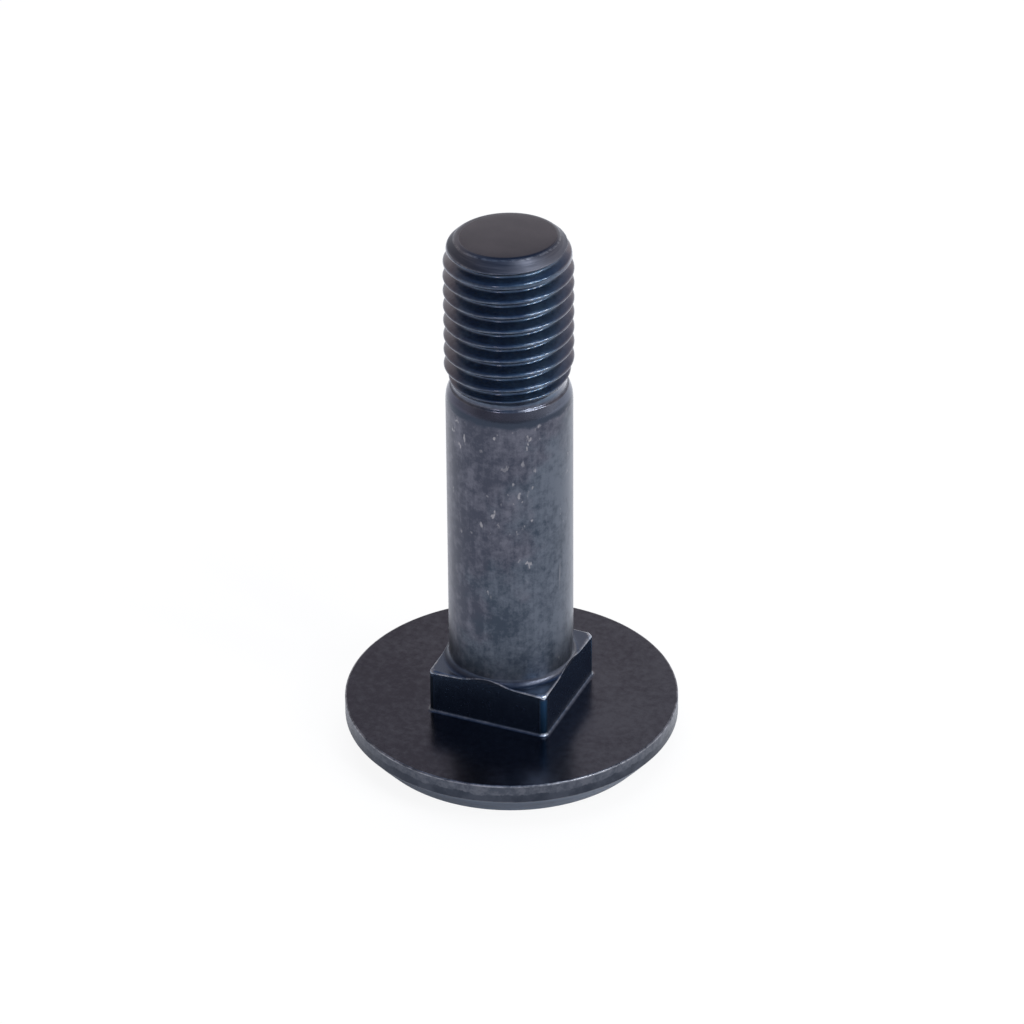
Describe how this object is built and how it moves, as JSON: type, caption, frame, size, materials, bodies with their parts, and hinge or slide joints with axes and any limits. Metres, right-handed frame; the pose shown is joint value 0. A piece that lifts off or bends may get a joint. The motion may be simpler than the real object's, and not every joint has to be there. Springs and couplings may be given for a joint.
{
  "type": "carriage bolt",
  "caption": "Black steel carriage bolt with a flat round head, a square neck that keeps it from turning, a plain shank and a rolled right-hand thread for a nut.",
  "frame": {"origin": "on the bolt's axis, in the plane of the bearing face under the head", "axes": "+Z along the axis towards the threaded end, so the bolt stands on its head; the flats of the neck face +X, -X, +Y and -Y"},
  "size_m": [0.0414, 0.0414, 0.0705],
  "materials": {
    "black_steel": "black oxide, satin, worn bright on the edges"
  },
  "bodies": {
    "root": {"bolt": "black_steel"}
  },
  "joints": []
}
